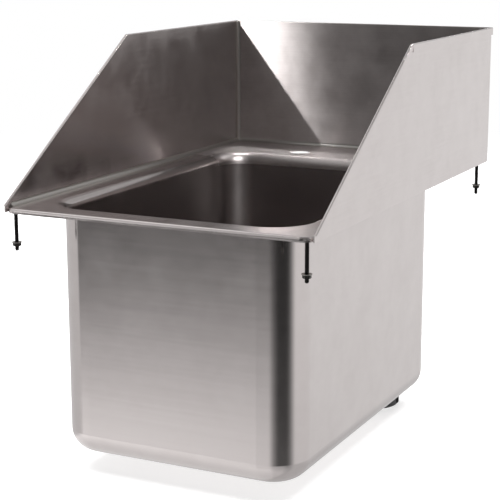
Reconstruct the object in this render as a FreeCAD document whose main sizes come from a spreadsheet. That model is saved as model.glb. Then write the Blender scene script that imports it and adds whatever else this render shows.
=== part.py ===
import FreeCAD, Part
import math
import os
import types

import Sketcher
from FreeCAD import Vector

# A drop-in stainless sink: a drawn bowl welded under a rimmed deck, three hemmed splashes,
# hold-down studs under the rim's corners and a waste in the rear right corner of the bowl.
# Millimetres. X to the right, Y to the rear, Z up. The origin is the middle of the rim,
# on the plane of the worktop that the rim's lip rests on.

# Driving sizes

SIZES = [
    ("gauge", 1.2, "thickness of every stainless sheet"),
    ("rim_width", 317.0, "rim across the outer faces of the side splashes"),
    ("rim_length", 489.0, "rim from its front lip to the outer face of the back splash"),
    ("rim_lip", 4.5, "top of the deck above the worktop"),
    ("rim_roll", 3.0, "outer radius of the rolled edge of the deck"),
    ("rim_corner", 12.0, "front corners of the rim, seen from above"),
    ("front_ledge", 32.5, "front of the rim to the bowl's inner face"),
    ("rear_ledge", 86.2, "bowl's inner face to the inner face of the back splash"),
    ("bowl_width", 250.6, "inside of the bowl, across"),
    ("bowl_depth", 244.6, "top of the deck to the inside of the bottom"),
    ("bowl_corner", 36.0, "inner radius of the bowl's upright corners"),
    ("bowl_cove", 21.0, "inner radius round the bowl's bottom"),
    ("draw_radius", 9.0, "radius where the deck turns down into the bowl"),
    ("collar_land", 3.0, "straight collar below that radius, down to the bowl's seam"),
    ("splash_height", 146.0, "top of the splashes above the deck"),
    ("splash_setback", 3.0, "front of the side splashes behind the front lip"),
    ("splash_nose", 6.0, "blunt front end of a side splash above the worktop"),
    ("slope_run", 227.0, "length of a side splash's sloped front edge, along the rim"),
    ("hem_gap", 0.6, "space inside a folded hem"),
    ("hem_top", 8.0, "width of the hem along the top edges"),
    ("hem_slope", 5.0, "width of the hem along the sloped edges"),
    ("hem_mitre", 0.2, "gap where the two hems of a side splash meet"),
    ("hem_notch", 2.0, "relief cut at the inner end of that gap"),
    ("hem_round", 0.9, "rounding of a hem's fold"),
    ("weld_cove", 4.0, "radius of the polished weld along the splashes"),
    ("tap_spacing", 101.6, "tap holes, centre to centre"),
    ("tap_hole", 23.0, "diameter of a tap hole"),
    ("tap_from_back", 52.0, "tap holes to the inner face of the back splash"),
    ("stud_inset", 9.2, "stud to the outer face of the side splash"),
    ("stud_front", 8.1, "front studs to the front lip"),
    ("stud_rear", 9.7, "rear studs to the outer face of the back splash"),
    ("stud_dia", 4.0, "diameter of a hold-down stud"),
    ("stud_length", 40.0, "length of a hold-down stud below the deck sheet"),
    ("stud_foot", 6.0, "diameter of the stud's weld foot"),
    ("stud_foot_height", 0.8, "thickness of the weld foot"),
    ("stud_point", 0.6, "chamfer at the end of a stud"),
    ("thread_play", 0.08, "radial clearance of washer and nut on the stud"),
    ("washer_dia", 9.6, "diameter of a hold-down washer"),
    ("washer_thick", 0.8, "thickness of a hold-down washer"),
    ("nut_flats", 7.0, "hold-down nut across its flats"),
    ("nut_thick", 3.2, "thickness of a hold-down nut"),
    ("nut_bevel", 0.35, "chamfer at the ends of the nut's bore"),
    ("drop_front_left", 31.5, "deck sheet down to the washer, front left"),
    ("drop_front_right", 31.7, "deck sheet down to the washer, front right"),
    ("drop_rear_left", 31.0, "deck sheet down to the washer, rear left"),
    ("drop_rear_right", 29.0, "deck sheet down to the washer, rear right"),
    ("drain_margin", 0.5, "flat left between the waste's flange and the bowl's cove"),
    ("drain_flange", 52.0, "diameter of the waste's flange in the bowl"),
    ("drain_flange_thick", 1.6, "thickness of the waste's flange"),
    ("drain_sleeve", 44.0, "outer diameter of the waste's sleeve"),
    ("drain_throat", 40.0, "inside of the waste above the strainer's ledge"),
    ("drain_ledge_depth", 2.6, "ledge for the strainer below the top of the flange"),
    ("drain_chamber", 36.4, "inside of the waste round the strainer"),
    ("drain_chamber_depth", 7.4, "depth of that chamber below the ledge"),
    ("drain_outlet", 34.0, "inside of the waste's outlet"),
    ("drain_thread_end", 1.5, "sleeve that stands out below the locknut"),
    ("drain_play", 0.6, "radial room round the sleeve in seal, bowl, gasket and ring"),
    ("seal_width", 3.2, "width of the flat seal under the flange"),
    ("seal_thick", 0.8, "thickness of the flat seal"),
    ("gasket_dia", 54.0, "diameter of the gasket under the bowl"),
    ("gasket_thick", 3.0, "thickness of that gasket"),
    ("ring_dia", 53.0, "diameter of the friction washer"),
    ("ring_thick", 0.8, "thickness of the friction washer"),
    ("locknut_dia", 56.0, "diameter of the locknut"),
    ("locknut_thick", 12.0, "thickness of the locknut"),
    ("locknut_play", 0.2, "radial clearance of the locknut on the sleeve"),
    ("locknut_bevel", 2.0, "bevel of the locknut's lower edge"),
    ("locknut_notch_width", 7.0, "width of the grip notches round the locknut"),
    ("locknut_notch_depth", 2.0, "depth of the grip notches"),
    ("basket_lip_play", 0.3, "radial room round the strainer's lip"),
    ("basket_lip_thick", 1.0, "thickness of the strainer's lip"),
    ("basket_wall", 0.8, "sheet of the strainer"),
    ("basket_play", 0.6, "radial room round the strainer's cup"),
    ("basket_depth", 6.6, "ledge down to the underside of the strainer"),
    ("basket_hole", 3.8, "diameter of the strainer's holes"),
    ("basket_inner_ring", 6.5, "radius of the strainer's inner ring of holes"),
    ("basket_outer_ring", 12.2, "radius of the strainer's outer ring of holes"),
    ("knob_stem", 4.0, "diameter of the strainer's knob at its stem"),
    ("knob_foot", 7.0, "diameter of the knob's foot"),
    ("knob_foot_height", 1.2, "height of the knob's foot"),
    ("knob_head", 11.0, "diameter of the knob's head"),
    ("knob_head_height", 5.0, "height of the knob's head"),
    ("knob_height", 17.0, "height of the knob above the strainer's floor"),
    ("knob_bevel", 1.2, "bevel of the knob's head"),
]
LOCKNUT_NOTCHES = 8
INNER_HOLES = 5
OUTER_HOLES = 10
FULL_TURN = 360.0
TOLERANCE = 0.01

doc = FreeCAD.newDocument("drop_in_sink")
sheet = doc.addObject("Spreadsheet::Sheet", "sizes")
for row, (alias, number, meaning) in enumerate(SIZES, start=1):
    sheet.set(f"A{row}", meaning)
    sheet.set(f"B{row}", str(number))
    sheet.setAlias(f"B{row}", alias)
doc.recompute()


class Dim:
    """A size that keeps both its value and the cell expression that it comes from."""

    def __init__(self, text, value):
        self.text = text
        self.value = value

    def __neg__(self):
        return Dim(f"(-{self.text})", -self.value)

    def __add__(self, other):
        other = as_dim(other)
        return Dim(f"({self.text} + {other.text})", self.value + other.value)

    def __sub__(self, other):
        other = as_dim(other)
        return Dim(f"({self.text} - {other.text})", self.value - other.value)

    def __mul__(self, other):
        other = as_dim(other)
        return Dim(f"({self.text} * {other.text})", self.value * other.value)

    def __truediv__(self, other):
        other = as_dim(other)
        return Dim(f"({self.text} / {other.text})", self.value / other.value)


def as_dim(number):
    return number if isinstance(number, Dim) else Dim(repr(number), number)


def square_root(size):
    return Dim(f"sqrt({size.text})", size.value ** 0.5)


s = types.SimpleNamespace(**{alias: Dim(f"sizes.{alias}", sheet.get(alias)) for alias, _, _ in SIZES})
zero = as_dim(0.0)
nodes = {}


# Ways to draw and to make features

def bind(feature, name, size):
    feature.setExpression(name, as_dim(size).text)


def settle(feature):
    """Rebuild, and stop at the feature that can't be made."""
    doc.recompute()
    if not feature.isValid():
        raise RuntimeError(f"{feature.Name}: {feature.getStatusString()}")
    return feature


def new_body(label, x=zero, y=zero, z=zero):
    body = doc.addObject("PartDesign::Body", label)
    body.Label = label
    for axis, place in zip("xyz", (x, y, z)):
        bind(body, f"Placement.Base.{axis}", place)
    nodes[label] = body
    return body


def new_sketch(body, plane, height=None):
    sketch = body.newObject("Sketcher::SketchObject", f"{body.Name}_sketch")
    support = next(item for item in body.Origin.OriginFeatures if item.Role == plane)
    sketch.AttachmentSupport = [(support, "")]
    sketch.MapMode = "FlatFace"
    if height is not None:
        bind(sketch, "AttachmentOffset.Base.z", height)
    return sketch


def hold_point(sketch, geometry, end, point):
    """Hold a point of the sketch to a pair of sizes measured from the sketch's origin."""
    for kind, axis, size in zip(("DistanceX", "DistanceY"), (-2, -1), point):
        if size is zero:
            sketch.addConstraint(Sketcher.Constraint("PointOnObject", geometry, end, axis))
            continue
        index = sketch.addConstraint(Sketcher.Constraint(kind, -1, 1, geometry, end, size.value))
        bind(sketch, f"Constraints[{index}]", size)


def draw_polygon(sketch, points):
    first = sketch.GeometryCount
    count = len(points)
    corners = [Vector(x.value, y.value, 0) for x, y in points]
    for i in range(count):
        sketch.addGeometry(Part.LineSegment(corners[i], corners[(i + 1) % count]))
    for i in range(count):
        following = first + (i + 1) % count
        sketch.addConstraint(Sketcher.Constraint("Coincident", first + i, 2, following, 1))
    for i, point in enumerate(points):
        hold_point(sketch, first + i, 1, point)


def draw_rectangle(sketch, left, right, low, high):
    draw_polygon(sketch, [(left, low), (right, low), (right, high), (left, high)])


def draw_rounded_rectangle(sketch, left, right, low, high, radius):
    """Rectangle with an arc at each corner, drawn as lines and arcs in turn, anticlockwise."""
    first = sketch.GeometryCount
    corners = [(right, low, -1, 1), (right, high, -1, -1), (left, high, 1, -1), (left, low, 1, 1)]
    arcs = []
    for number, (x, y, toward_x, toward_y) in enumerate(corners):
        centre = Vector(x.value + toward_x * radius.value, y.value + toward_y * radius.value, 0)
        start = math.radians(90 * (number - 1))
        circle = Part.Circle(centre, Vector(0, 0, 1), radius.value)
        arcs.append(Part.ArcOfCircle(circle, start, start + math.radians(90)))
    for number, arc in enumerate(arcs):
        sketch.addGeometry(Part.LineSegment(arcs[number - 1].EndPoint, arc.StartPoint))
        sketch.addGeometry(arc)
    count = 2 * len(corners)
    for i in range(count):
        following = first + (i + 1) % count
        sketch.addConstraint(Sketcher.Constraint("Coincident", first + i, 2, following, 1))
    for number, (x, y, toward_x, toward_y) in enumerate(corners):
        arc = first + 2 * number + 1
        on_level = (x + radius * toward_x, y)
        on_upright = (x, y + radius * toward_y)
        level_first = number % 2 == 0
        hold_point(sketch, arc, 1, on_level if level_first else on_upright)
        hold_point(sketch, arc, 2, on_upright if level_first else on_level)
        size = sketch.addConstraint(Sketcher.Constraint("Radius", arc, radius.value))
        bind(sketch, f"Constraints[{size}]", radius)


def draw_circle(sketch, centre, diameter):
    radius = diameter / 2
    ring = Part.Circle(Vector(centre[0].value, centre[1].value, 0), Vector(0, 0, 1), radius.value)
    index = sketch.addGeometry(ring)
    hold_point(sketch, index, 3, centre)
    size = sketch.addConstraint(Sketcher.Constraint("Radius", index, radius.value))
    bind(sketch, f"Constraints[{size}]", radius)


def pad(body, sketch, length, reverse=False):
    feature = body.newObject("PartDesign::Pad", f"{body.Name}_pad")
    feature.Profile = sketch
    feature.Reversed = reverse
    bind(feature, "Length", length)
    return settle(feature)


def pocket(body, sketch, depth, reverse=False):
    before = body.Shape.Volume
    feature = body.newObject("PartDesign::Pocket", f"{body.Name}_pocket")
    feature.Profile = sketch
    feature.Reversed = reverse
    bind(feature, "Length", depth)
    doc.recompute()
    if body.Shape.Volume > before - TOLERANCE:
        raise RuntimeError(f"{feature.Name} cuts nothing")
    return feature


def revolve(body, points):
    """Turn an outline of (radius, height) points about the body's Z axis."""
    sketch = new_sketch(body, "XZ_Plane")
    draw_polygon(sketch, points)
    feature = body.newObject("PartDesign::Revolution", f"{body.Name}_turn")
    feature.Profile = sketch
    feature.ReferenceAxis = (sketch, ["V_Axis"])
    feature.Angle = FULL_TURN
    return settle(feature)


def ring(label, x, y, inner, outer, low, high):
    """A plain turned ring, by its two diameters and its two heights."""
    body = new_body(label, x, y)
    inside = inner / 2
    outside = outer / 2
    revolve(body, [(inside, low), (outside, low), (outside, high), (inside, high)])
    return body


def around(body, feature, sketch, count):
    pattern = body.newObject("PartDesign::PolarPattern", f"{body.Name}_pattern")
    pattern.Originals = [feature]
    pattern.Axis = (sketch, ["N_Axis"])
    pattern.Angle = FULL_TURN
    pattern.Occurrences = count
    body.Tip = pattern
    return settle(pattern)


def soften(body, base, size, chosen, kind="Fillet"):
    """Fillet or chamfer the edges of a feature that the test picks."""
    names = [f"Edge{i}" for i, edge in enumerate(base.Shape.Edges, start=1) if chosen(edge.BoundBox)]
    feature = body.newObject(f"PartDesign::{kind}", f"{body.Name}_{kind.lower()}")
    feature.Base = (base, names)
    bind(feature, "Radius" if kind == "Fillet" else "Size", size)
    return settle(feature)


# Tests that pick edges by where they lie

def near(a, b):
    return abs(a - b) < TOLERANCE


def upright(box):
    return near(box.XLength, 0) and near(box.YLength, 0) and box.ZLength > TOLERANCE


def level_at(height):
    return lambda box: near(box.ZMin, height.value) and near(box.ZMax, height.value)


# Places that several pieces share

rim_front = -(s.rim_length / 2)
rim_rear = s.rim_length / 2
rim_side = s.rim_width / 2
deck_side = rim_side - s.gauge
deck_rear = rim_rear - s.gauge
deck_top = s.rim_lip
deck_under = deck_top - s.gauge
splash_top = deck_top + s.splash_height
bowl_side = s.bowl_width / 2
bowl_front = rim_front + s.front_ledge
bowl_rear = deck_rear - s.rear_ledge
bowl_floor = deck_top - s.bowl_depth
bowl_under = bowl_floor - s.gauge
collar_drop = s.draw_radius + s.collar_land
bowl_seam = deck_top - collar_drop
tap_y = deck_rear - s.tap_from_back
drain_inset = s.bowl_cove + s.drain_margin + s.drain_flange / 2
drain_x = bowl_side - drain_inset
drain_y = bowl_rear - drain_inset


def bowl_outline(sketch, grow):
    """The bowl's inner outline, larger all round by a given amount."""
    side = bowl_side + grow
    draw_rounded_rectangle(sketch, -side, side, bowl_front - grow, bowl_rear + grow, s.bowl_corner + grow)


def on_bowl_outline(grow, height):
    """Test for the edges of that outline at a given height."""
    side = bowl_side.value + grow.value
    front = bowl_front.value - grow.value
    rear = bowl_rear.value + grow.value

    def chosen(box):
        across = near(box.XMin, -side) or near(box.XMax, side)
        along = near(box.YMin, front) or near(box.YMax, rear)
        return level_at(height)(box) and (across or along)

    return chosen


# Deck: a shallow tray turned down at its rim, drawn down into a collar for the bowl, holed for the taps

def make_deck():
    body = new_body("deck")
    outline = new_sketch(body, "XY_Plane")
    draw_rectangle(outline, -deck_side, deck_side, rim_front, deck_rear)
    block = pad(body, outline, s.rim_lip)

    def front_corner(box):
        return upright(box) and near(box.YMin, rim_front.value)

    cornered = soften(body, block, s.rim_corner, front_corner)
    rolled = soften(body, cornered, s.rim_roll, level_at(deck_top))
    open_face = next(
        f"Face{i}" for i, face in enumerate(rolled.Shape.Faces, start=1) if near(face.BoundBox.ZMax, 0)
    )
    tray = body.newObject("PartDesign::Thickness", "deck_shell")
    tray.Base = (rolled, [open_face])
    tray.Reversed = True
    bind(tray, "Value", s.gauge)
    doc.recompute()

    collar = new_sketch(body, "XY_Plane", deck_top)
    bowl_outline(collar, s.gauge)
    pad(body, collar, collar_drop, reverse=True)
    opening = new_sketch(body, "XY_Plane", deck_top)
    bowl_outline(opening, zero)
    cut = pocket(body, opening, collar_drop)
    cut = soften(body, cut, s.draw_radius, on_bowl_outline(zero, deck_top))
    soften(body, cut, s.draw_radius - s.gauge, on_bowl_outline(s.gauge, deck_under))

    taps = new_sketch(body, "XY_Plane", deck_top)
    for tap_x in (-(s.tap_spacing / 2), s.tap_spacing / 2):
        draw_circle(taps, (tap_x, tap_y), s.tap_hole)
    pocket(body, taps, s.gauge * 2)
    return body


# Bowl: drawn walls that meet the deck's collar, a coved bottom and the hole for the waste

def make_bowl():
    body = new_body("bowl")
    block_sketch = new_sketch(body, "XY_Plane", bowl_seam)
    bowl_outline(block_sketch, s.gauge)
    pad(body, block_sketch, bowl_seam - bowl_under, reverse=True)

    inside_sketch = new_sketch(body, "XY_Plane", bowl_seam)
    bowl_outline(inside_sketch, zero)
    hollow = pocket(body, inside_sketch, bowl_seam - bowl_floor)

    hollow = soften(body, hollow, s.bowl_cove, level_at(bowl_floor))
    soften(body, hollow, s.bowl_cove + s.gauge, level_at(bowl_under))

    waste = new_sketch(body, "XY_Plane", bowl_floor)
    draw_circle(waste, (drain_x, drain_y), s.drain_sleeve + s.drain_play * 2)
    pocket(body, waste, s.gauge * 2)
    return body


# Splashes: sheets with their edges folded outward into flat hems

slope_foot = rim_front + s.splash_setback
slope_head = slope_foot + s.slope_run
slope_rise = splash_top - s.splash_nose
slope_line = square_root(s.slope_run * s.slope_run + slope_rise * slope_rise)
mitre_lean = (slope_line - s.slope_run) / slope_rise
hem_outer = s.gauge + s.hem_gap


def top_band(width):
    """Strip of a side splash along its top edge, mitred towards the slope."""
    start = slope_head + s.hem_mitre
    low = splash_top - width
    return [(start, splash_top), (rim_rear, splash_top), (rim_rear, low), (start + width * mitre_lean, low)]


def slope_band(width):
    """Strip of a side splash along its sloped edge, mitred towards the top. A wide one is relieved there."""
    head_y = slope_head - s.hem_mitre * s.slope_run / slope_line
    head_z = splash_top - s.hem_mitre * slope_rise / slope_line
    foot_y = slope_foot + width * slope_line / slope_rise
    band = [(slope_foot, s.splash_nose), (head_y, head_z)]
    inner_y = head_y + width * mitre_lean
    inner_z = head_z - width
    if width.value > s.hem_notch.value:
        band.append((inner_y - s.hem_notch * mitre_lean, inner_z + s.hem_notch))
        inner_y = inner_y - s.hem_notch * s.slope_run / slope_line
        inner_z = inner_z - s.hem_notch * slope_rise / slope_line
    return band + [(inner_y, inner_z), (foot_y, s.splash_nose)]


def make_side_splash(label, side):
    """A side splash on the left (side -1) or on the right (side 1) of the rim."""
    body = new_body(label, rim_side * side)
    inward = side > 0
    outline = new_sketch(body, "YZ_Plane")
    draw_polygon(outline, [
        (slope_foot, zero),
        (rim_rear, zero),
        (rim_rear, splash_top),
        (slope_head, splash_top),
        (slope_foot, s.splash_nose),
    ])
    pad(body, outline, s.gauge, reverse=inward)
    for band in (top_band, slope_band):
        fold = new_sketch(body, "YZ_Plane")
        draw_polygon(fold, band(s.gauge))
        pad(body, fold, s.hem_gap + s.gauge, reverse=not inward)
    leg_start = s.hem_gap * side
    hemmed = None
    for band, width in ((top_band, s.hem_top), (slope_band, s.hem_slope)):
        leg = new_sketch(body, "YZ_Plane", leg_start)
        draw_polygon(leg, band(width))
        hemmed = pad(body, leg, s.gauge, reverse=not inward)

    def fold_edge(box):
        flat = near(box.XLength, 0)
        on_top = near(box.ZMin, splash_top.value) and box.YLength > s.hem_top.value
        on_slope = box.YLength > s.slope_run.value / 2 and box.ZLength > slope_rise.value / 2
        inner = near(box.XMin, -side * s.gauge.value)
        outer = near(box.XMin, side * hem_outer.value)
        at_edge = on_top or (on_slope and near(box.YMin, slope_foot.value))
        return flat and at_edge and (inner or outer)

    soften(body, hemmed, s.hem_round, fold_edge)
    return body


def make_back_splash():
    body = new_body("back_splash", zero, rim_rear)
    outline = new_sketch(body, "XZ_Plane")
    draw_rectangle(outline, -deck_side, deck_side, zero, splash_top)
    pad(body, outline, s.gauge)
    fold = new_sketch(body, "XZ_Plane")
    draw_rectangle(fold, -rim_side, rim_side, splash_top - s.gauge, splash_top)
    pad(body, fold, hem_outer, reverse=True)
    leg = new_sketch(body, "XZ_Plane", -s.hem_gap)
    draw_rectangle(leg, -rim_side, rim_side, splash_top - s.hem_top, splash_top)
    hemmed = pad(body, leg, s.gauge, reverse=True)

    def fold_edge(box):
        across = box.XLength > s.rim_width.value / 2 and near(box.ZMin, splash_top.value)
        return across and near(box.YLength, 0) and not near(box.YMin, 0)

    soften(body, hemmed, s.hem_round, fold_edge)
    return body


# Weld: the cove that fills the rolled edge and runs along the deck and up the inner corners

def new_box(name, low, high):
    box = doc.addObject("Part::Box", name)
    for side, axis, start, end in zip(("Length", "Width", "Height"), "xyz", low, high):
        bind(box, side, end - start)
        bind(box, f"Placement.Base.{axis}", start)
    return box


def cut_from(name, base, tool):
    result = doc.addObject("Part::Cut", name)
    result.Base = base
    result.Tool = tool
    return result


def round_box(name, box, radius, chosen):
    doc.recompute()
    rounded = doc.addObject("Part::Fillet", name)
    rounded.Base = box
    edges = enumerate(box.Shape.Edges, start=1)
    rounded.Edges = [(i, radius.value, radius.value) for i, edge in edges if chosen(edge.BoundBox)]
    return rounded


def make_seam_weld():
    start = rim_front + s.rim_corner
    head = splash_top - s.hem_round
    roll_foot = deck_top - s.rim_roll
    block = new_box("weld_block", (-deck_side, start, roll_foot), (deck_side, deck_rear, head))
    room = new_box("weld_room", (-deck_side, start, deck_top), (deck_side, deck_rear, head + s.weld_cove))
    form = new_box("weld_deck_form", (-deck_side, rim_front, zero), (deck_side, deck_rear, deck_top))

    def welded_edge(box):
        along_side = near(box.ZMax, deck_top.value) and near(box.XLength, 0)
        along_rear = near(box.ZMax, deck_top.value) and near(box.YMin, deck_rear.value)
        inner_corner = upright(box) and near(box.YMin, deck_rear.value)
        return along_side or along_rear or inner_corner

    coved = round_box("weld_coved_room", room, s.weld_cove, welded_edge)
    rolled = round_box("weld_rolled_form", form, s.rim_roll, level_at(deck_top))
    bead = cut_from("weld_bead", block, coved)
    weld = cut_from("seam_weld", bead, rolled)
    weld.Label = "seam_weld"
    nodes["seam_weld"] = weld
    return settle(weld)


# Hold-downs: a stud, a washer and a nut under each corner of the rim

def make_hold_down(corner, x, y, drop):
    stud = new_body(f"stud_{corner}", x, y, deck_under)
    radius = s.stud_dia / 2
    foot = s.stud_foot / 2
    revolve(stud, [
        (zero, zero),
        (zero, -s.stud_length),
        (radius - s.stud_point, -s.stud_length),
        (radius, s.stud_point - s.stud_length),
        (radius, -s.stud_foot_height),
        (foot, -s.stud_foot_height),
        (foot, zero),
    ])
    bore = s.stud_dia + s.thread_play * 2
    washer_top = deck_under - drop
    nut_top = washer_top - s.washer_thick
    ring(f"washer_{corner}", x, y, bore, s.washer_dia, nut_top, washer_top)

    nut = new_body(f"nut_{corner}", x, y, nut_top)
    hexagon = new_sketch(nut, "XY_Plane")
    flat = s.nut_flats / 2
    point = s.nut_flats / square_root(as_dim(3.0))
    draw_polygon(hexagon, [
        (flat, -(point / 2)),
        (flat, point / 2),
        (zero, point),
        (-flat, point / 2),
        (-flat, -(point / 2)),
        (zero, -point),
    ])
    pad(nut, hexagon, s.nut_thick, reverse=True)
    hole = new_sketch(nut, "XY_Plane")
    draw_circle(hole, (zero, zero), bore)
    bored = pocket(nut, hole, s.nut_thick)

    def bore_rim(box):
        return near(box.ZLength, 0) and near(box.XLength, bore.value)

    soften(nut, bored, s.nut_bevel, bore_rim, kind="Chamfer")


# Waste: flanged sleeve, seals and locknut, with a lift-out strainer

flange_under = bowl_floor + s.seal_thick
flange_top = flange_under + s.drain_flange_thick
ledge = flange_top - s.drain_ledge_depth
gasket_under = bowl_under - s.gasket_thick
ring_under = gasket_under - s.ring_thick
locknut_under = ring_under - s.locknut_thick
sleeve_end = locknut_under - s.drain_thread_end


def make_drain_body():
    body = new_body("drain_body", drain_x, drain_y)
    flange = s.drain_flange / 2
    sleeve = s.drain_sleeve / 2
    throat = s.drain_throat / 2
    chamber = s.drain_chamber / 2
    outlet = s.drain_outlet / 2
    chamber_end = ledge - s.drain_chamber_depth
    bevel = s.drain_flange_thick / 2
    revolve(body, [
        (throat, ledge),
        (throat, flange_top),
        (flange - s.drain_flange_thick, flange_top),
        (flange, flange_top - bevel),
        (flange, flange_under),
        (sleeve, flange_under),
        (sleeve, sleeve_end),
        (outlet, sleeve_end),
        (outlet, chamber_end),
        (chamber, chamber_end),
        (chamber, ledge),
    ])
    return body


def make_drain_locknut():
    body = new_body("drain_locknut", drain_x, drain_y, locknut_under)
    outer = s.locknut_dia / 2
    inner = s.drain_sleeve / 2 + s.locknut_play
    revolve(body, [
        (inner, zero),
        (outer - s.locknut_bevel, zero),
        (outer, s.locknut_bevel),
        (outer, s.locknut_thick),
        (inner, s.locknut_thick),
    ])
    notch_sketch = new_sketch(body, "XY_Plane")
    half = s.locknut_notch_width / 2
    draw_rectangle(notch_sketch, outer - s.locknut_notch_depth, outer + s.locknut_bevel, -half, half)
    notch = pocket(body, notch_sketch, s.locknut_thick, reverse=True)
    around(body, notch, notch_sketch, LOCKNUT_NOTCHES)
    return body


def make_strainer():
    lip = s.drain_throat / 2 - s.basket_lip_play
    cup = s.drain_chamber / 2 - s.basket_play
    cup_inside = cup - s.basket_wall
    floor_top = s.basket_wall - s.basket_depth
    basket = new_body("strainer_basket", drain_x, drain_y, ledge)
    revolve(basket, [
        (zero, -s.basket_depth),
        (cup, -s.basket_depth),
        (cup, zero),
        (lip, zero),
        (lip, s.basket_lip_thick),
        (cup_inside, s.basket_lip_thick),
        (cup_inside, floor_top),
        (zero, floor_top),
    ])
    for place, count in ((s.basket_inner_ring, INNER_HOLES), (s.basket_outer_ring, OUTER_HOLES)):
        hole_sketch = new_sketch(basket, "XY_Plane", floor_top)
        draw_circle(hole_sketch, (place, zero), s.basket_hole)
        hole = pocket(basket, hole_sketch, s.basket_wall * 2)
        around(basket, hole, hole_sketch, count)

    knob = new_body("strainer_knob", drain_x, drain_y, ledge + floor_top)
    stem = s.knob_stem / 2
    foot = s.knob_foot / 2
    head = s.knob_head / 2
    head_foot = s.knob_height - s.knob_head_height
    revolve(knob, [
        (zero, zero),
        (foot, zero),
        (foot, s.knob_foot_height),
        (stem, s.knob_foot_height + (foot - stem)),
        (stem, head_foot),
        (head, head_foot + (head - stem) / 2),
        (head, s.knob_height - s.knob_bevel),
        (head - s.knob_bevel, s.knob_height),
        (zero, s.knob_height),
    ])


# The whole sink

make_deck()
make_bowl()
make_side_splash("left_splash", -1)
make_side_splash("right_splash", 1)
make_back_splash()
make_seam_weld()

stud_x = rim_side - s.stud_inset
front_y = rim_front + s.stud_front
rear_y = rim_rear - s.stud_rear
make_hold_down("front_left", -stud_x, front_y, s.drop_front_left)
make_hold_down("front_right", stud_x, front_y, s.drop_front_right)
make_hold_down("rear_left", -stud_x, rear_y, s.drop_rear_left)
make_hold_down("rear_right", stud_x, rear_y, s.drop_rear_right)

sleeve_room = s.drain_sleeve + s.drain_play * 2
make_drain_body()
seal_dia = sleeve_room + s.seal_width * 2
ring("drain_seal", drain_x, drain_y, sleeve_room, seal_dia, bowl_floor, flange_under)
ring("drain_gasket", drain_x, drain_y, sleeve_room, s.gasket_dia, gasket_under, bowl_under)
ring("drain_friction_washer", drain_x, drain_y, sleeve_room, s.ring_dia, ring_under, gasket_under)
make_drain_locknut()
make_strainer()

# Test every object, then write each piece to its own file

doc.recompute()
for item in doc.Objects:
    if "Invalid" in item.State or "Error" in item.State:
        raise RuntimeError(f"{item.Name} failed: {item.State}")
for name, node in nodes.items():
    if node.Shape.isNull() or not node.Shape.isValid() or not node.Shape.Solids:
        raise RuntimeError(f"{name} has no valid solid")

os.makedirs("parts", exist_ok=True)
for name, node in nodes.items():
    node.Shape.exportStep(f"parts/{node.Label}.step")
    box = node.Shape.BoundBox
    print(f"{name}: {len(node.Shape.Solids)} solid, {node.Shape.Volume:.1f} mm3, "
          f"{box.XLength:.2f} by {box.YLength:.2f} by {box.ZLength:.2f} mm")
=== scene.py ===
import math

import bmesh
import bpy
from mathutils import Matrix, Vector


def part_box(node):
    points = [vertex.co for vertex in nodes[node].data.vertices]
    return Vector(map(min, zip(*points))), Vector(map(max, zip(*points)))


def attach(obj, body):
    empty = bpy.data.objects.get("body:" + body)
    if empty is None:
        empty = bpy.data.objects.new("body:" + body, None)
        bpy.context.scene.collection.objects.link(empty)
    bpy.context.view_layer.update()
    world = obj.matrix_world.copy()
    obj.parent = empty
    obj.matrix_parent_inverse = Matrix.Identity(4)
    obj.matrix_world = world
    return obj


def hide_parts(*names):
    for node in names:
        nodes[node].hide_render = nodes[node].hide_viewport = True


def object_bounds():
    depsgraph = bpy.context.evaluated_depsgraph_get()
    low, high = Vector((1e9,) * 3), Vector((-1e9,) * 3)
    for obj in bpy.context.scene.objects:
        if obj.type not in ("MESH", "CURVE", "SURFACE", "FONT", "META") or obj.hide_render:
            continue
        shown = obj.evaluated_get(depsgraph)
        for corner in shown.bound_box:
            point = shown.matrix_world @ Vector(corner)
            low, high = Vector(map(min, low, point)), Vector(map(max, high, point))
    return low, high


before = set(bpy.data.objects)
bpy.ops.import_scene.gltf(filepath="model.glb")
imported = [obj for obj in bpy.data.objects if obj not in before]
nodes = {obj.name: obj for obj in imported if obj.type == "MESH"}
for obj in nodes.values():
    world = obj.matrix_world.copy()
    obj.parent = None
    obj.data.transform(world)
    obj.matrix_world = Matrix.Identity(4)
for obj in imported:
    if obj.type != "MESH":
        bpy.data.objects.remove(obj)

cad_low, cad_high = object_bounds()
scene = bpy.context.scene
MM = 0.001
CORNERS = ("front_left", "front_right", "rear_left", "rear_right")

# Camera, at the photo's viewing angle
PHOTO_SIDE = 500
FOCAL_PIXELS = 1450.6
CAMERA_PLACE = Vector((638.2, -1335.8, 259.6)) * MM
CAMERA_AZIMUTH = math.radians(26.28)
CAMERA_ELEVATION = math.radians(12.53)
CAMERA_ROLL = math.radians(-0.16)

camera_data = bpy.data.cameras.new("camera")
camera_data.sensor_width = 36
camera_data.lens = FOCAL_PIXELS / PHOTO_SIDE * camera_data.sensor_width
camera = bpy.data.objects.new("camera", camera_data)
camera.matrix_world = (
    Matrix.Translation(CAMERA_PLACE)
    @ Matrix.Rotation(CAMERA_AZIMUTH, 4, "Z")
    @ Matrix.Rotation(math.radians(90) - CAMERA_ELEVATION, 4, "X")
    @ Matrix.Rotation(CAMERA_ROLL, 4, "Z")
)
scene.collection.objects.link(camera)
scene.camera = camera
scene.view_settings.view_transform = "Standard"


# Node helpers
def put(tree, socket, value):
    """Links a socket to an input, or sets the input's value."""
    if isinstance(value, bpy.types.NodeSocket):
        tree.links.new(value, socket)
    else:
        socket.default_value = value


def add(tree, kind, inputs=None, **settings):
    """A new node with its settings and its inputs, which are named or numbered."""
    made = tree.nodes.new(kind)
    for name, value in settings.items():
        setattr(made, name, value)
    for key, value in (inputs or {}).items():
        put(tree, made.inputs[key], value)
    return made


def grey(level):
    return (level, level, level, 1)


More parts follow.
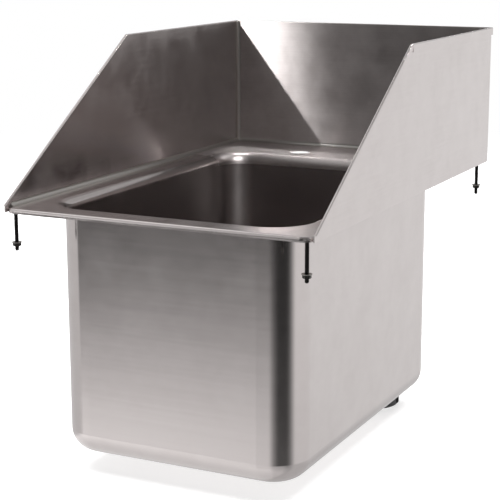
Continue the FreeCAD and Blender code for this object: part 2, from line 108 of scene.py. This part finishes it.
def math_node(tree, operation, *values):
    return add(tree, "ShaderNodeMath", dict(enumerate(values)), operation=operation).outputs[0]


def span(tree, value, low, high, to_low=0.0, to_high=1.0, smooth=False):
    """Value carried from one range to another, held at the ends."""
    inputs = {"Value": value, "From Min": low, "From Max": high, "To Min": to_low, "To Max": to_high}
    kind = "SMOOTHSTEP" if smooth else "LINEAR"
    return add(tree, "ShaderNodeMapRange", inputs, interpolation_type=kind).outputs["Result"]


def mix_colour(tree, share, first, second):
    made = add(tree, "ShaderNodeMix", data_type="RGBA")
    put(tree, made.inputs["Factor"], share)
    put(tree, made.inputs[6], first)
    put(tree, made.inputs[7], second)
    return made.outputs[2]


def noise(tree, vector, scale, detail=3.0, roughness=0.5):
    inputs = {"Vector": vector, "Scale": scale, "Detail": detail, "Roughness": roughness}
    return add(tree, "ShaderNodeTexNoise", inputs).outputs["Fac"]


def stretched(tree, vector, per_metre):
    """Coordinates scaled so that a pattern repeats about per_metre times along each axis."""
    return add(tree, "ShaderNodeMapping", {"Vector": vector, "Scale": per_metre}).outputs[0]


def new_material(name):
    made = bpy.data.materials.new(name)
    made.use_nodes = True
    tree = made.node_tree
    shader = tree.nodes["Principled BSDF"]
    place = add(tree, "ShaderNodeTexCoord").outputs["Object"]
    return made, tree, shader, place


def bump(tree, shader, height, distance, strength=1.0):
    inputs = {"Height": height, "Distance": distance, "Strength": strength}
    put(tree, shader.inputs["Normal"], add(tree, "ShaderNodeBump", inputs).outputs[0])


# Materials
STEEL_DARK = (0.59, 0.54, 0.53)
STEEL_LIGHT = (0.735, 0.685, 0.675)
WALL_GRAIN = (16, 16, 800)
DECK_GRAIN = (800, 16, 800)
UNEVEN_LOW = 0.35
UNEVEN_HIGH = 0.65
TONE_LOW = 0.32
TONE_HIGH = 0.68
SPECK_LOW = 0.3
SPECK_HIGH = 0.7
SMEAR_SHARE = 0.06
CLOUDS_PER_METRE = 26.0
SPECK_DEPTH = 0.02 * MM
QUARTER_TURN = 0.25
LEDGE_BLEND_FRONT = 0.1
LEDGE_BLEND_REAR = 0.18
SIDEWAYS = (0.02, 0, 0)
bowl_low, bowl_high = (Vector(corner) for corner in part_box("bowl"))
BOWL_MIDDLE = (bowl_low + bowl_high) / 2


def inside_share(tree, place):
    """One on faces that look towards the bowl's middle, otherwise nothing."""
    offset = add(tree, "ShaderNodeVectorMath", {0: place, 1: BOWL_MIDDLE}, operation="SUBTRACT").outputs[0]
    facing = {0: add(tree, "ShaderNodeNewGeometry").outputs["True Normal"], 1: offset}
    outward = add(tree, "ShaderNodeVectorMath", facing, operation="DOT_PRODUCT").outputs["Value"]
    return math_node(tree, "LESS_THAN", outward, 0.0)


def rear_share(tree, place):
    """Nothing on the front of the deck, rising to one on its rear ledge."""
    rearward = add(tree, "ShaderNodeSeparateXYZ", {0: place}).outputs["Y"]
    return span(tree, rearward, LEDGE_BLEND_FRONT, LEDGE_BLEND_REAR, smooth=True)


def round_lines(tree):
    """Brushing that runs level round an upright axis."""
    return add(tree, "ShaderNodeTangent", direction_type="RADIAL", axis="Z").outputs[0]


def straight_lines(tree):
    """Brushing that runs level along walls, and from side to side on level faces."""
    normal = add(tree, "ShaderNodeNewGeometry").outputs["Normal"]
    level = add(tree, "ShaderNodeVectorMath", {0: (0, 0, 1), 1: normal}, operation="CROSS_PRODUCT").outputs[0]
    return add(tree, "ShaderNodeVectorMath", {0: level, 1: SIDEWAYS}, operation="ADD").outputs[0]


def sheet_steel(name, painted_light_scale, grain, lined, mottled, dull, shiny, wave, brushed,
                rubbed=None, brushing=round_lines):
    """Brushed stainless sheet: fine grain lines, slow mottling and a slight waviness of the sheet.

    The colour is multiplied by a scale that paints light and shade, making lighter and darker copies of one
    steel.
    Lined is the share of grain lines against clouds, and mottled is the spread of the tone. Dull and shiny
    limit the roughness, wave is the height of the waviness in metres, and brushed is the anisotropy. Rubbed
    says where the sheet is rougher, and by how much.
    """
    made, tree, shader, place = new_material(name)
    lines = noise(tree, stretched(tree, place, grain), 1.0, detail=2.0)
    slow_grain = [per_metre * SMEAR_SHARE for per_metre in grain]
    smears = noise(tree, stretched(tree, place, slow_grain), 1.0, detail=3.0, roughness=0.6)
    clouds = noise(tree, place, CLOUDS_PER_METRE, detail=5.0, roughness=0.65)
    from_lines = math_node(tree, "MULTIPLY", lines, lined)
    from_clouds = math_node(tree, "MULTIPLY", clouds, 1 - lined)
    uneven = math_node(tree, "ADD", from_lines, from_clouds)
    rough = span(tree, uneven, UNEVEN_LOW, UNEVEN_HIGH, shiny, dull)
    if rubbed:
        share_of, more = rubbed
        rough = math_node(tree, "MULTIPLY_ADD", share_of(tree, place), more, rough)
    put(tree, shader.inputs["Roughness"], rough)
    tone = span(tree, uneven, TONE_LOW, TONE_HIGH, 0.5 - mottled / 2, 0.5 + mottled / 2)
    # Colours scaled lighter or darker by the painted light scale: painted light and painted shade on one
    # steel
    dark, light = ([part * painted_light_scale for part in colour] + [1] for colour in (STEEL_DARK, STEEL_LIGHT))
    put(tree, shader.inputs["Base Color"], mix_colour(tree, tone, dark, light))
    bump(tree, shader, smears, wave)
    put(tree, shader.inputs["Tangent"], brushing(tree))
    shader.inputs["Anisotropic"].default_value = brushed
    shader.inputs["Anisotropic Rotation"].default_value = QUARTER_TURN
    shader.inputs["Metallic"].default_value = 1.0
    return made


def plain_metal(name, dark, light, dull, shiny, grain):
    """Turned, plated or pressed metal with a fine even grain."""
    made, tree, shader, place = new_material(name)
    specks = noise(tree, place, grain, detail=3.0, roughness=0.6)
    put(tree, shader.inputs["Base Color"], mix_colour(tree, specks, dark, light))
    put(tree, shader.inputs["Roughness"], span(tree, specks, SPECK_LOW, SPECK_HIGH, shiny, dull))
    bump(tree, shader, specks, SPECK_DEPTH)
    shader.inputs["Metallic"].default_value = 1.0
    return made


def moulded(name, dark, light, dull, shiny, grain, depth):
    """Moulded plastic, rubber or pressed fibre with a fine skin."""
    made, tree, shader, place = new_material(name)
    skin = noise(tree, place, grain, detail=4.0, roughness=0.6)
    put(tree, shader.inputs["Base Color"], mix_colour(tree, skin, dark, light))
    put(tree, shader.inputs["Roughness"], span(tree, skin, SPECK_LOW, SPECK_HIGH, shiny, dull))
    bump(tree, shader, skin, depth)
    return made


side_steel = sheet_steel(
    "steel_side", painted_light_scale=1.0, grain=WALL_GRAIN, lined=0.25, mottled=0.7, dull=0.26, shiny=0.14,
    wave=0.05 * MM, brushed=1.0,
)
back_steel = sheet_steel(
    "steel_back", painted_light_scale=1.0, grain=WALL_GRAIN, lined=0.2, mottled=1.0, dull=0.38, shiny=0.28,
    wave=0.05 * MM, brushed=1.0,
)
# Bowl colour scaled down to 0.95: painted shade, a darker copy of the same steel
bowl_steel = sheet_steel(
    "steel_bowl", painted_light_scale=0.95, grain=WALL_GRAIN, lined=0.2, mottled=0.35, dull=0.175, shiny=0.15,
    wave=0.03 * MM, brushed=0.5, rubbed=(inside_share, 0.09), brushing=straight_lines,
)
# Deck colour scaled up to 1.1: painted light, a lighter copy of the same steel that brightens the deck and
# its rear ledge
deck_steel = sheet_steel(
    "steel_deck", painted_light_scale=1.1, grain=DECK_GRAIN, lined=0.3, mottled=0.6, dull=0.26, shiny=0.16,
    wave=0.03 * MM, brushed=0.5, rubbed=(rear_share, 0.26),
)
weld_steel = plain_metal(
    "steel_weld", (0.60, 0.57, 0.54, 1), (0.68, 0.66, 0.63, 1), dull=0.4, shiny=0.3, grain=1400,
)
waste_steel = plain_metal(
    "steel_waste", (0.58, 0.57, 0.55, 1), (0.66, 0.65, 0.64, 1), dull=0.24, shiny=0.14, grain=900,
)
stud_steel = plain_metal(
    "steel_stud", (0.035, 0.033, 0.032, 1), (0.09, 0.085, 0.08, 1), dull=0.5, shiny=0.34, grain=1800,
)
washer_steel = plain_metal(
    "steel_washer", (0.32, 0.31, 0.29, 1), (0.46, 0.44, 0.42, 1), dull=0.45, shiny=0.3, grain=1500,
)
black_plastic = moulded(
    "black_plastic", (0.010, 0.010, 0.011, 1), (0.022, 0.022, 0.023, 1), dull=0.5, shiny=0.36, grain=1500,
    depth=0.04 * MM,
)
rubber = moulded(
    "rubber", (0.014, 0.014, 0.014, 1), (0.035, 0.034, 0.033, 1), dull=0.8, shiny=0.65, grain=1100,
    depth=0.05 * MM,
)
fibre = moulded(
    "fibre", (0.20, 0.15, 0.10, 1), (0.34, 0.27, 0.19, 1), dull=0.9, shiny=0.75, grain=700, depth=0.06 * MM,
)

NODE_MATERIALS = {
    "deck": deck_steel,
    "bowl": bowl_steel,
    "left_splash": side_steel,
    "right_splash": side_steel,
    "back_splash": back_steel,
    "seam_weld": weld_steel,
    "drain_body": waste_steel,
    "strainer_basket": waste_steel,
    "strainer_knob": black_plastic,
    "drain_locknut": black_plastic,
    "drain_seal": rubber,
    "drain_gasket": rubber,
    "drain_friction_washer": fibre,
}
for node_name, finish in NODE_MATERIALS.items():
    for material_slot in nodes[node_name].material_slots:
        material_slot.material = finish


# Mesh helpers
SHARP_ANGLE = math.radians(32)


def centre_of(node_name):
    """Middle of a node in plan, with its lowest and highest level."""
    low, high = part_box(node_name)
    middle = (Vector(low) + Vector(high)) / 2
    return middle.x, middle.y, low[2], high[2]


def new_piece(name, build, body, node_name, finish):
    """A mesh piece that rides on a body in place of a node. Build fills its bmesh."""
    work = bmesh.new()
    build(work)
    bmesh.ops.recalc_face_normals(work, faces=work.faces)
    mesh = bpy.data.meshes.new(name)
    work.to_mesh(mesh)
    work.free()
    mesh.shade_smooth()
    mesh.set_sharp_from_angle(angle=SHARP_ANGLE)
    mesh.materials.append(finish)
    made = bpy.data.objects.new(name, mesh)
    scene.collection.objects.link(made)
    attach(made, body)
    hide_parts(node_name)
    return made


def lathe(work, middle, profile, segments):
    """Closed profile of (radius, level) turned round an upright axis."""
    rings = []
    for radius, level in profile:
        ring = []
        for i in range(segments):
            turn = 2 * math.pi * i / segments
            point = (middle[0] + radius * math.cos(turn), middle[1] + radius * math.sin(turn), level)
            ring.append(work.verts.new(point))
        rings.append(ring)
    for ring, after in zip(rings, rings[1:] + rings[:1]):
        for i in range(segments):
            j = (i + 1) % segments
            work.faces.new((ring[i], ring[j], after[j], after[i]))


def rounded_ring(inner, outer, low, high, edge):
    """Profile of a flat ring with small bevels at its four edges."""
    return [
        (inner + edge, low),
        (outer - edge, low),
        (outer, low + edge),
        (outer, high - edge),
        (outer - edge, high),
        (inner + edge, high),
        (inner, high - edge),
        (inner, low + edge),
    ]


# Hold-down studs, washers and nuts
STUD_RADIUS = 2.0 * MM
THREAD_PITCH = 0.7 * MM
THREAD_DEPTH = 0.4 * MM
THREAD_START = 0.3 * MM
RIDGE_SUNK = 0.97
RIDGE_RISES = (0.02, 0.42, 0.58, 0.98)
STUD_BLEND = 0.5 * MM
STUD_BLEND_DIP = 0.3
STUD_CENTRE_SHARE = 0.2
STUD_TIP_SHARE = 0.75
STUD_TIP_HEIGHT = 0.45 * MM
STUD_SEGMENTS = 28
FOOT_RADIUS = 3.0 * MM
FOOT_HEIGHT = 0.8 * MM
FOOT_BEVEL = 0.25 * MM
NUT_ACROSS_FLATS = 7.0 * MM
NUT_BORE = 2.06 * MM
NUT_SINK = 0.3 * MM
NUT_SEGMENTS = 72
NUT_CONE_SHARE = 0.97
NUT_CHAMFER_ANGLE = math.radians(30)
HEX_HALF_ANGLE = math.radians(30)
WASHER_PLAY = 0.05 * MM
WASHER_BEVEL = 0.15 * MM
WASHER_SEGMENTS = 48
TURN_STEPS = 20


def thread(work, middle, low, high):
    """Ridge wound round a core, tapering out at both ends."""
    root = STUD_RADIUS - THREAD_DEPTH
    turns = (high - low) / THREAD_PITCH - 1
    steps = int(turns * TURN_STEPS)
    ramp = TURN_STEPS // 2
    before = None
    for i in range(steps + 1):
        turn = 2 * math.pi * i / TURN_STEPS
        level = low + THREAD_PITCH * i / TURN_STEPS
        share = min(1.0, i / ramp, (steps - i) / ramp)
        crest = root + THREAD_DEPTH * share
        strand = []
        for radius, rise in zip((root * RIDGE_SUNK, crest, crest, root * RIDGE_SUNK), RIDGE_RISES):
            x = middle[0] + radius * math.cos(turn)
            y = middle[1] + radius * math.sin(turn)
            strand.append(work.verts.new((x, y, level + THREAD_PITCH * rise)))
        if before:
            for k in range(4):
                j = (k + 1) % 4
                work.faces.new((before[k], before[j], strand[j], strand[k]))
        else:
            work.faces.new(strand)
        before = strand
    work.faces.new(before[::-1])


def stud(work, node_name):
    x, y, low, high = centre_of(node_name)
    root = STUD_RADIUS - THREAD_DEPTH
    foot = high - FOOT_HEIGHT
    dip = STUD_BLEND_DIP * STUD_BLEND
    profile = [
        (STUD_CENTRE_SHARE * root, low),
        (STUD_TIP_SHARE * root, low),
        (root, low + STUD_TIP_HEIGHT),
        (root, foot - STUD_BLEND),
        (root + dip, foot - dip),
        (root + STUD_BLEND, foot),
        (FOOT_RADIUS - FOOT_BEVEL, foot),
        (FOOT_RADIUS, foot + FOOT_BEVEL),
        (FOOT_RADIUS, high),
        (STUD_CENTRE_SHARE * root, high),
    ]
    lathe(work, (x, y), profile, STUD_SEGMENTS)
    thread(work, (x, y), low + THREAD_START, foot - STUD_BLEND)


def hex_nut(work, node_name):
    """Hexagon whose corners are cut back by a cone at both ends, with a countersunk bore."""
    x, y, low, high = centre_of(node_name)
    box_low, box_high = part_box(node_name)
    half_flat = NUT_ACROSS_FLATS / 2
    points_along_x = box_high[0] - box_low[0] > box_high[1] - box_low[1]
    first_corner = 0.0 if points_along_x else HEX_HALF_ANGLE
    slope = math.tan(NUT_CHAMFER_ANGLE)
    corner = half_flat / math.cos(HEX_HALF_ANGLE)
    cone_radius = half_flat * NUT_CONE_SHARE
    cut = (corner - cone_radius) * slope

    def rim(level, inset):
        ring = []
        limit = cone_radius + inset / slope
        for i in range(NUT_SEGMENTS):
            turn = 2 * math.pi * i / NUT_SEGMENTS
            off = (turn - first_corner) % (2 * HEX_HALF_ANGLE) - HEX_HALF_ANGLE
            radius = min(half_flat / math.cos(off), limit)
            ring.append(work.verts.new((x + radius * math.cos(turn), y + radius * math.sin(turn), level)))
        return ring

    def hole(level, radius):
        ring = []
        for i in range(NUT_SEGMENTS):
            turn = 2 * math.pi * i / NUT_SEGMENTS
            ring.append(work.verts.new((x + radius * math.cos(turn), y + radius * math.sin(turn), level)))
        return ring

    levels = [0.0, 0.25 * cut, 0.5 * cut, 0.75 * cut, cut]
    rings = [rim(low + depth, depth) for depth in levels]
    rings += [rim(high - depth, depth) for depth in reversed(levels)]
    rings += [hole(high, NUT_BORE + NUT_SINK), hole(high - NUT_SINK, NUT_BORE)]
    rings += [hole(low + NUT_SINK, NUT_BORE), hole(low, NUT_BORE + NUT_SINK)]
    for ring, after in zip(rings, rings[1:] + rings[:1]):
        for i in range(NUT_SEGMENTS):
            j = (i + 1) % NUT_SEGMENTS
            work.faces.new((ring[i], ring[j], after[j], after[i]))


def washer(work, node_name):
    x, y, low, high = centre_of(node_name)
    outer = (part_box(node_name)[1][0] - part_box(node_name)[0][0]) / 2
    profile = rounded_ring(NUT_BORE + WASHER_PLAY, outer, low, high, WASHER_BEVEL)
    lathe(work, (x, y), profile, WASHER_SEGMENTS)


for corner_name in CORNERS:
    for kind, build, body, slot_name, finish in (
        ("stud", stud, "sink", "stud_steel", stud_steel),
        ("washer", washer, "washer_" + corner_name, "washer_steel", washer_steel),
        ("nut", hex_nut, "nut_" + corner_name, "stud_steel", stud_steel),
    ):
        replaced = f"{kind}_{corner_name}"
        prefix = "threaded_" if kind == "stud" else "detailed_"
        new_piece(prefix + replaced, lambda work: build(work, replaced), body, replaced, finish)

# Floor
FLOOR_LEVEL = cad_low.z - 2 * MM
FLOOR_RADIUS = 2.4
FLOOR_FADE = 1.2
FLOOR_GLOW = 0.6
FLOOR_SEGMENTS = 96
PAPER_GRAIN_PER_METRE = 60.0
PAPER_ROUGHNESS = 0.9
PAPER_SPECULAR = 0.1
PAPER_DARK = grey(0.80)
PAPER_LIGHT = grey(0.86)


def make_floor():
    """Pale paper that runs out softly. Mirror reflections leave it out and show the studio instead."""
    work = bmesh.new()
    bmesh.ops.create_circle(work, cap_ends=True, segments=FLOOR_SEGMENTS, radius=FLOOR_RADIUS)
    mesh = bpy.data.meshes.new("floor")
    work.to_mesh(mesh)
    work.free()
    finish, tree, shader, place = new_material("floor_paper")
    grain = noise(tree, place, PAPER_GRAIN_PER_METRE, detail=5.0, roughness=0.6)
    put(tree, shader.inputs["Base Color"], mix_colour(tree, grain, PAPER_DARK, PAPER_LIGHT))
    shader.inputs["Roughness"].default_value = PAPER_ROUGHNESS
    shader.inputs["Specular IOR Level"].default_value = PAPER_SPECULAR
    shader.inputs["Emission Strength"].default_value = FLOOR_GLOW
    away = add(tree, "ShaderNodeVectorMath", {0: place}, operation="LENGTH").outputs["Value"]
    put(tree, shader.inputs["Alpha"], span(tree, away, FLOOR_FADE, FLOOR_RADIUS, 1.0, 0.0, smooth=True))
    mesh.materials.append(finish)
    made = bpy.data.objects.new("floor", mesh)
    made.location.z = FLOOR_LEVEL
    made.visible_glossy = False
    scene.collection.objects.link(made)


make_floor()

# Studio surroundings, in angles: azimuth to the right of the front, elevation above the horizon
BACKGROUND = 1.0
DARK_ROOM = 0.07
DARK_CORNER = 0.03
DIM_CORNER = 0.13
# Level of the walls by elevation, and the azimuth and angles of the rear wall's sector
FRONT_WALL = (
    (-90, 0.8), (-30, 1.1), (-21, 1.4), (-16, 0.5), (-12, 0.06), (-5, 0.05),
    (2, 0.4), (12, 0.6), (54, 0.6), (66, 0.25), (90, 0.2),
)
REAR_WALL = (
    (-90, 0.6), (-28, 0.6), (-20, 0.82), (-12, 0.9), (0, 0.9), (10, 0.65),
    (20, 0.6), (27, 0.4), (52, 0.45), (66, 0.25), (90, 0.2),
)
REAR_SECTOR = (145, 60, 95)
# Share of each darker sector by elevation
SHADE_SHARE = ((-40, 0.0), (-30, 0.22), (-4, 0.22), (2, 0.0))
BELOW_SHARE = ((-60, 0.15), (-30, 0.5), (-22, 1.0), (-4, 1.0), (2, 0.0), (90, 0.0))
LOW_SHARE = ((-90, 0.0), (-4, 0.0), (2, 1.0), (10, 0.8), (40, 0.8), (70, 0.3), (90, 0.0))
HIGH_SHARE = ((-90, 0.0), (2, 0.0), (16, 0.9), (70, 0.9), (85, 0.2), (90, 0.0))
# Each sector: azimuth, angle within which it is full, angle beyond which it is gone, share and level
DARK_SECTORS = (
    (0, 22, 34, SHADE_SHARE, 0.0),
    (51, 3, 42, BELOW_SHARE, DARK_CORNER),
    (30, 10, 50, LOW_SHARE, DARK_ROOM),
    (68, 30, 55, HIGH_SHARE, DIM_CORNER),
)
# Each panel: azimuth and elevation of its corners (clockwise from the lower left), edge softness and level
PANELS = (
    # Dark screen in front
    (((-27, -6), (-27, 68), (12, 68), (12, -6)), 3.0, 0.06),
    # Light panel at the front left
    (((-48, 1), (-48, 22), (-30, 22), (-30, 1)), 3.0, 1.1),
    # High panels at the left and at the right
    (((-134, 48), (-134, 66), (-88, 66), (-88, 48)), 4.0, 1.4),
    (((98, 20), (98, 74), (134, 74), (134, 20)), 5.0, 1.2),
    # Small panel at the front right
    (((16, 6), (16, 17), (35, 17), (35, 6)), 2.0, 0.55),
    # Low panel at the left
    (((-150, -22), (-150, 4), (-55, 4), (-55, -22)), 6.0, 0.7),
)
# Narrow spots. Each: aim in mm, azimuth, elevation, reach in metres, tallness, softness in metres and power
SPOT_DISTANCE = 3.0
SPOTS = (
    # Light on the back splash, cut off by the left splash's edge
    ((-140, 243, 75), -33.7, 35.8, 0.087, 2.4, 0.04, 165),
    # Streak in the bowl's rear left corner
    ((-112, 149, -60), 48.0, 30.0, 0.04, 2.5, 0.03, 260),
    # Soft light from above on the rear ledge
    ((-20, 208, 5), -160.0, 72, 0.15, 0.45, 0.3, 1200),
)
FLOOR_LIGHT_PLACE = (0, 0.3, 2.6)
FLOOR_LIGHT_AIM = (0, 0.3, 0)
FLOOR_LIGHT_POWER = 170
FLOOR_LIGHT_SIZE = 3.6


def toward(azimuth, elevation=0.0):
    """Direction at an angle to the right of the front, and above the horizon."""
    a, e = math.radians(azimuth), math.radians(elevation)
    return Vector((math.sin(a) * math.cos(e), -math.cos(a) * math.cos(e), math.sin(e)))


def along(tree, way, direction):
    aim = {0: way, 1: direction}
    return add(tree, "ShaderNodeVectorMath", aim, operation="DOT_PRODUCT").outputs["Value"]


def sector(tree, level_way, azimuth, inner, outer):
    """One within the inner angle of an azimuth, nothing beyond the outer angle."""
    cosine = along(tree, level_way, toward(azimuth))
    return span(tree, cosine, math.cos(math.radians(outer)), math.cos(math.radians(inner)), smooth=True)


def by_elevation(tree, height, stops):
    """Grey that changes with the height of a direction."""
    ramp = add(tree, "ShaderNodeValToRGB", {0: span(tree, height, -1.0, 1.0)})
    points = ramp.color_ramp.elements
    while len(points) < len(stops):
        points.new(0.5)
    for point, (angle, level) in zip(points, stops):
        point.position = (math.sin(math.radians(angle)) + 1) / 2
        point.color = grey(level)
    return ramp.outputs["Color"]


def hang_panel(tree, way, around, corner_angles, soft, level):
    """Adds a soft-edged panel to the surroundings."""
    corners = [toward(*angles) for angles in corner_angles]
    share = 1.0
    for first, second in zip(corners, corners[1:] + corners[:1]):
        inward = second.cross(first).normalized()
        edge = span(tree, along(tree, way, inward), 0.0, math.radians(soft), smooth=True)
        share = math_node(tree, "MULTIPLY", edge, share)
    return mix_colour(tree, share, around, grey(level))


def make_world():
    world = bpy.data.worlds.new("studio")
    world.use_nodes = True
    scene.world = world
    tree = world.node_tree
    tree.nodes.clear()
    way = add(tree, "ShaderNodeTexCoord").outputs["Generated"]
    height = add(tree, "ShaderNodeSeparateXYZ", {0: way}).outputs["Z"]
    flat = add(tree, "ShaderNodeVectorMath", {0: way, 1: (1, 1, 0)}, operation="MULTIPLY").outputs[0]
    level_way = add(tree, "ShaderNodeVectorMath", {0: flat}, operation="NORMALIZE").outputs[0]
    front = by_elevation(tree, height, FRONT_WALL)
    rear = by_elevation(tree, height, REAR_WALL)
    lit = mix_colour(tree, sector(tree, level_way, *REAR_SECTOR), front, rear)
    for azimuth, inner, outer, shares, level in DARK_SECTORS:
        across = sector(tree, level_way, azimuth, inner, outer)
        share = math_node(tree, "MULTIPLY", across, by_elevation(tree, height, shares))
        lit = mix_colour(tree, share, lit, grey(level))
    for panel in PANELS:
        lit = hang_panel(tree, way, lit, *panel)
    light = add(tree, "ShaderNodeBackground", {"Color": lit})
    seen = add(tree, "ShaderNodeBackground", {"Color": grey(BACKGROUND)})
    ray = add(tree, "ShaderNodeLightPath").outputs["Is Camera Ray"]
    both = add(tree, "ShaderNodeMixShader", {0: ray, 1: light.outputs[0], 2: seen.outputs[0]})
    add(tree, "ShaderNodeOutputWorld", {"Surface": both.outputs[0]})


make_world()


def add_light(name, kind, place, aim, power):
    """Light facing a point. It stays out of the camera's own view."""
    made = bpy.data.objects.new(name, bpy.data.lights.new(name, kind))
    made.data.energy = power
    made.location = place
    made.rotation_euler = (Vector(aim) - Vector(place)).to_track_quat("-Z", "Y").to_euler()
    made.visible_camera = False
    scene.collection.objects.link(made)
    return made


floor_light = add_light("floor_light", "AREA", FLOOR_LIGHT_PLACE, FLOOR_LIGHT_AIM, FLOOR_LIGHT_POWER)
floor_light.data.size = FLOOR_LIGHT_SIZE
floor_light.visible_glossy = False
for number, (aim, azimuth, elevation, reach, tallness, softness, power) in enumerate(SPOTS):
    spot_aim = Vector(aim) * MM
    spot_place = spot_aim + toward(azimuth, elevation) * SPOT_DISTANCE
    spot = add_light(f"spot_{number}", "SPOT", spot_place, spot_aim, power)
    spot.data.shadow_soft_size = softness
    spot.data.spot_size = 2 * math.atan(reach / SPOT_DISTANCE)
    spot.data.spot_blend = 1.0
    spot.scale.y = tallness
